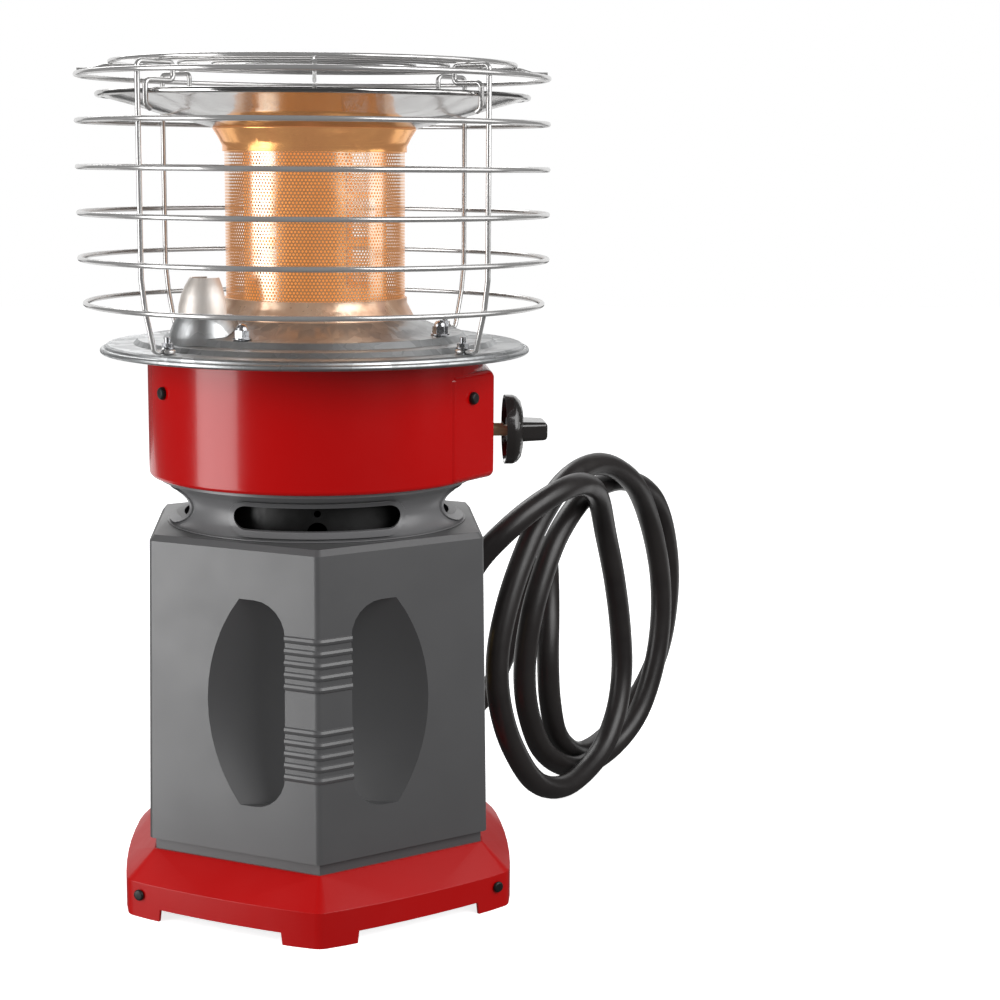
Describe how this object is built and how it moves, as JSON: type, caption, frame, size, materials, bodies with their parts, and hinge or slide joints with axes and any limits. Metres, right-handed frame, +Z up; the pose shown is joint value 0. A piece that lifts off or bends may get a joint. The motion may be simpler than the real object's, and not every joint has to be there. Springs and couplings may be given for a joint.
{
  "type": "portable propane heater",
  "caption": "Hexagonal grey heater on a red base, with a red control drum, round burner, top reflector, wire guard, finger recesses and a looped gas hose.",
  "frame": {"origin": "on the heater's upright axis at floor level", "axes": "+Z up; -Y towards the front grip corner; +X towards the control knob"},
  "size_m": [0.4893, 0.5261, 0.5882],
  "materials": {
    "red_paint": "gloss",
    "grey_moulding": "satin",
    "black_plastic": "satin",
    "gloss_black": "gloss",
    "black_steel": "satin",
    "zinc_steel": "satin",
    "galvanised": "satin",
    "polished_steel": "mirror",
    "chrome_wire": "bright",
    "heated_steel": "heat tinted",
    "brass": "satin",
    "aluminium_tube": "satin",
    "grey_casting": "satin",
    "ceramic": "matte",
    "hose_rubber": "satin"
  },
  "bodies": {
    "heater": {"base_shell": "red_paint", "base_plate": "zinc_steel", "base_screws": "black_steel", "housing": "grey_moulding", "housing_screws": "zinc_steel", "tip_switch": "black_plastic", "vent_collar": "grey_moulding", "collar_screws": "zinc_steel", "heat_sleeve": "black_steel", "drum": "red_paint", "mounting_skirt": "zinc_steel", "drum_screws": "black_steel", "valve_bracket": "zinc_steel", "gas_valve": "brass", "valve_nut": "brass", "supply_tube": "brass", "orifice": "brass", "mixing_tube": "zinc_steel", "pilot_tube": "aluminium_tube", "dish_plate": "galvanised", "burner_studs": "zinc_steel", "burner_skirt": "heated_steel", "burner_frame": "heated_steel", "burner_screen": "heated_steel", "burner_head": "heated_steel", "tie_rods": "zinc_steel", "tie_nuts": "zinc_steel", "reflector": "polished_steel", "pilot_base": "galvanised", "pilot_hood": "galvanised", "pilot_burner": "brass", "thermocouple": "zinc_steel", "spark_electrode": "ceramic", "guard_rings": "chrome_wire", "guard_uprights": "chrome_wire", "top_grille": "chrome_wire", "guard_studs": "zinc_steel", "guard_nuts": "zinc_steel", "inlet_elbow": "brass", "inlet_nut": "brass", "gas_pipe": "aluminium_tube", "hose_ferrules": "brass", "hose": "hose_rubber", "regulator": "grey_casting", "coupling_nipple": "brass"},
    "rotor": {"valve_plug": "brass"},
    "knob_and_stem": {"valve_stem": "brass", "knob": "gloss_black"},
    "hand_wheel": {"coupling_wheel": "black_plastic"}
  },
  "joints": [
    {"name": "valve_turn", "type": "hinge", "parent": "heater", "child": "rotor", "pos_m": [0.09, 0, 0.3305], "axis": [1, 0, 0], "range_deg": [0, 180]},
    {"name": "knob_push", "type": "slide", "parent": "rotor", "child": "knob_and_stem", "axis": [-1, 0, 0], "range_m": [0, 0.003], "stiffness_N_per_m": 1500, "springref_m": -0.002},
    {"name": "hand_wheel_turn", "type": "hinge", "parent": "heater", "child": "hand_wheel", "pos_m": [-0.085, 0.325, 0.02], "axis": [-1, 0, 0], "continuous": true}
  ]
}
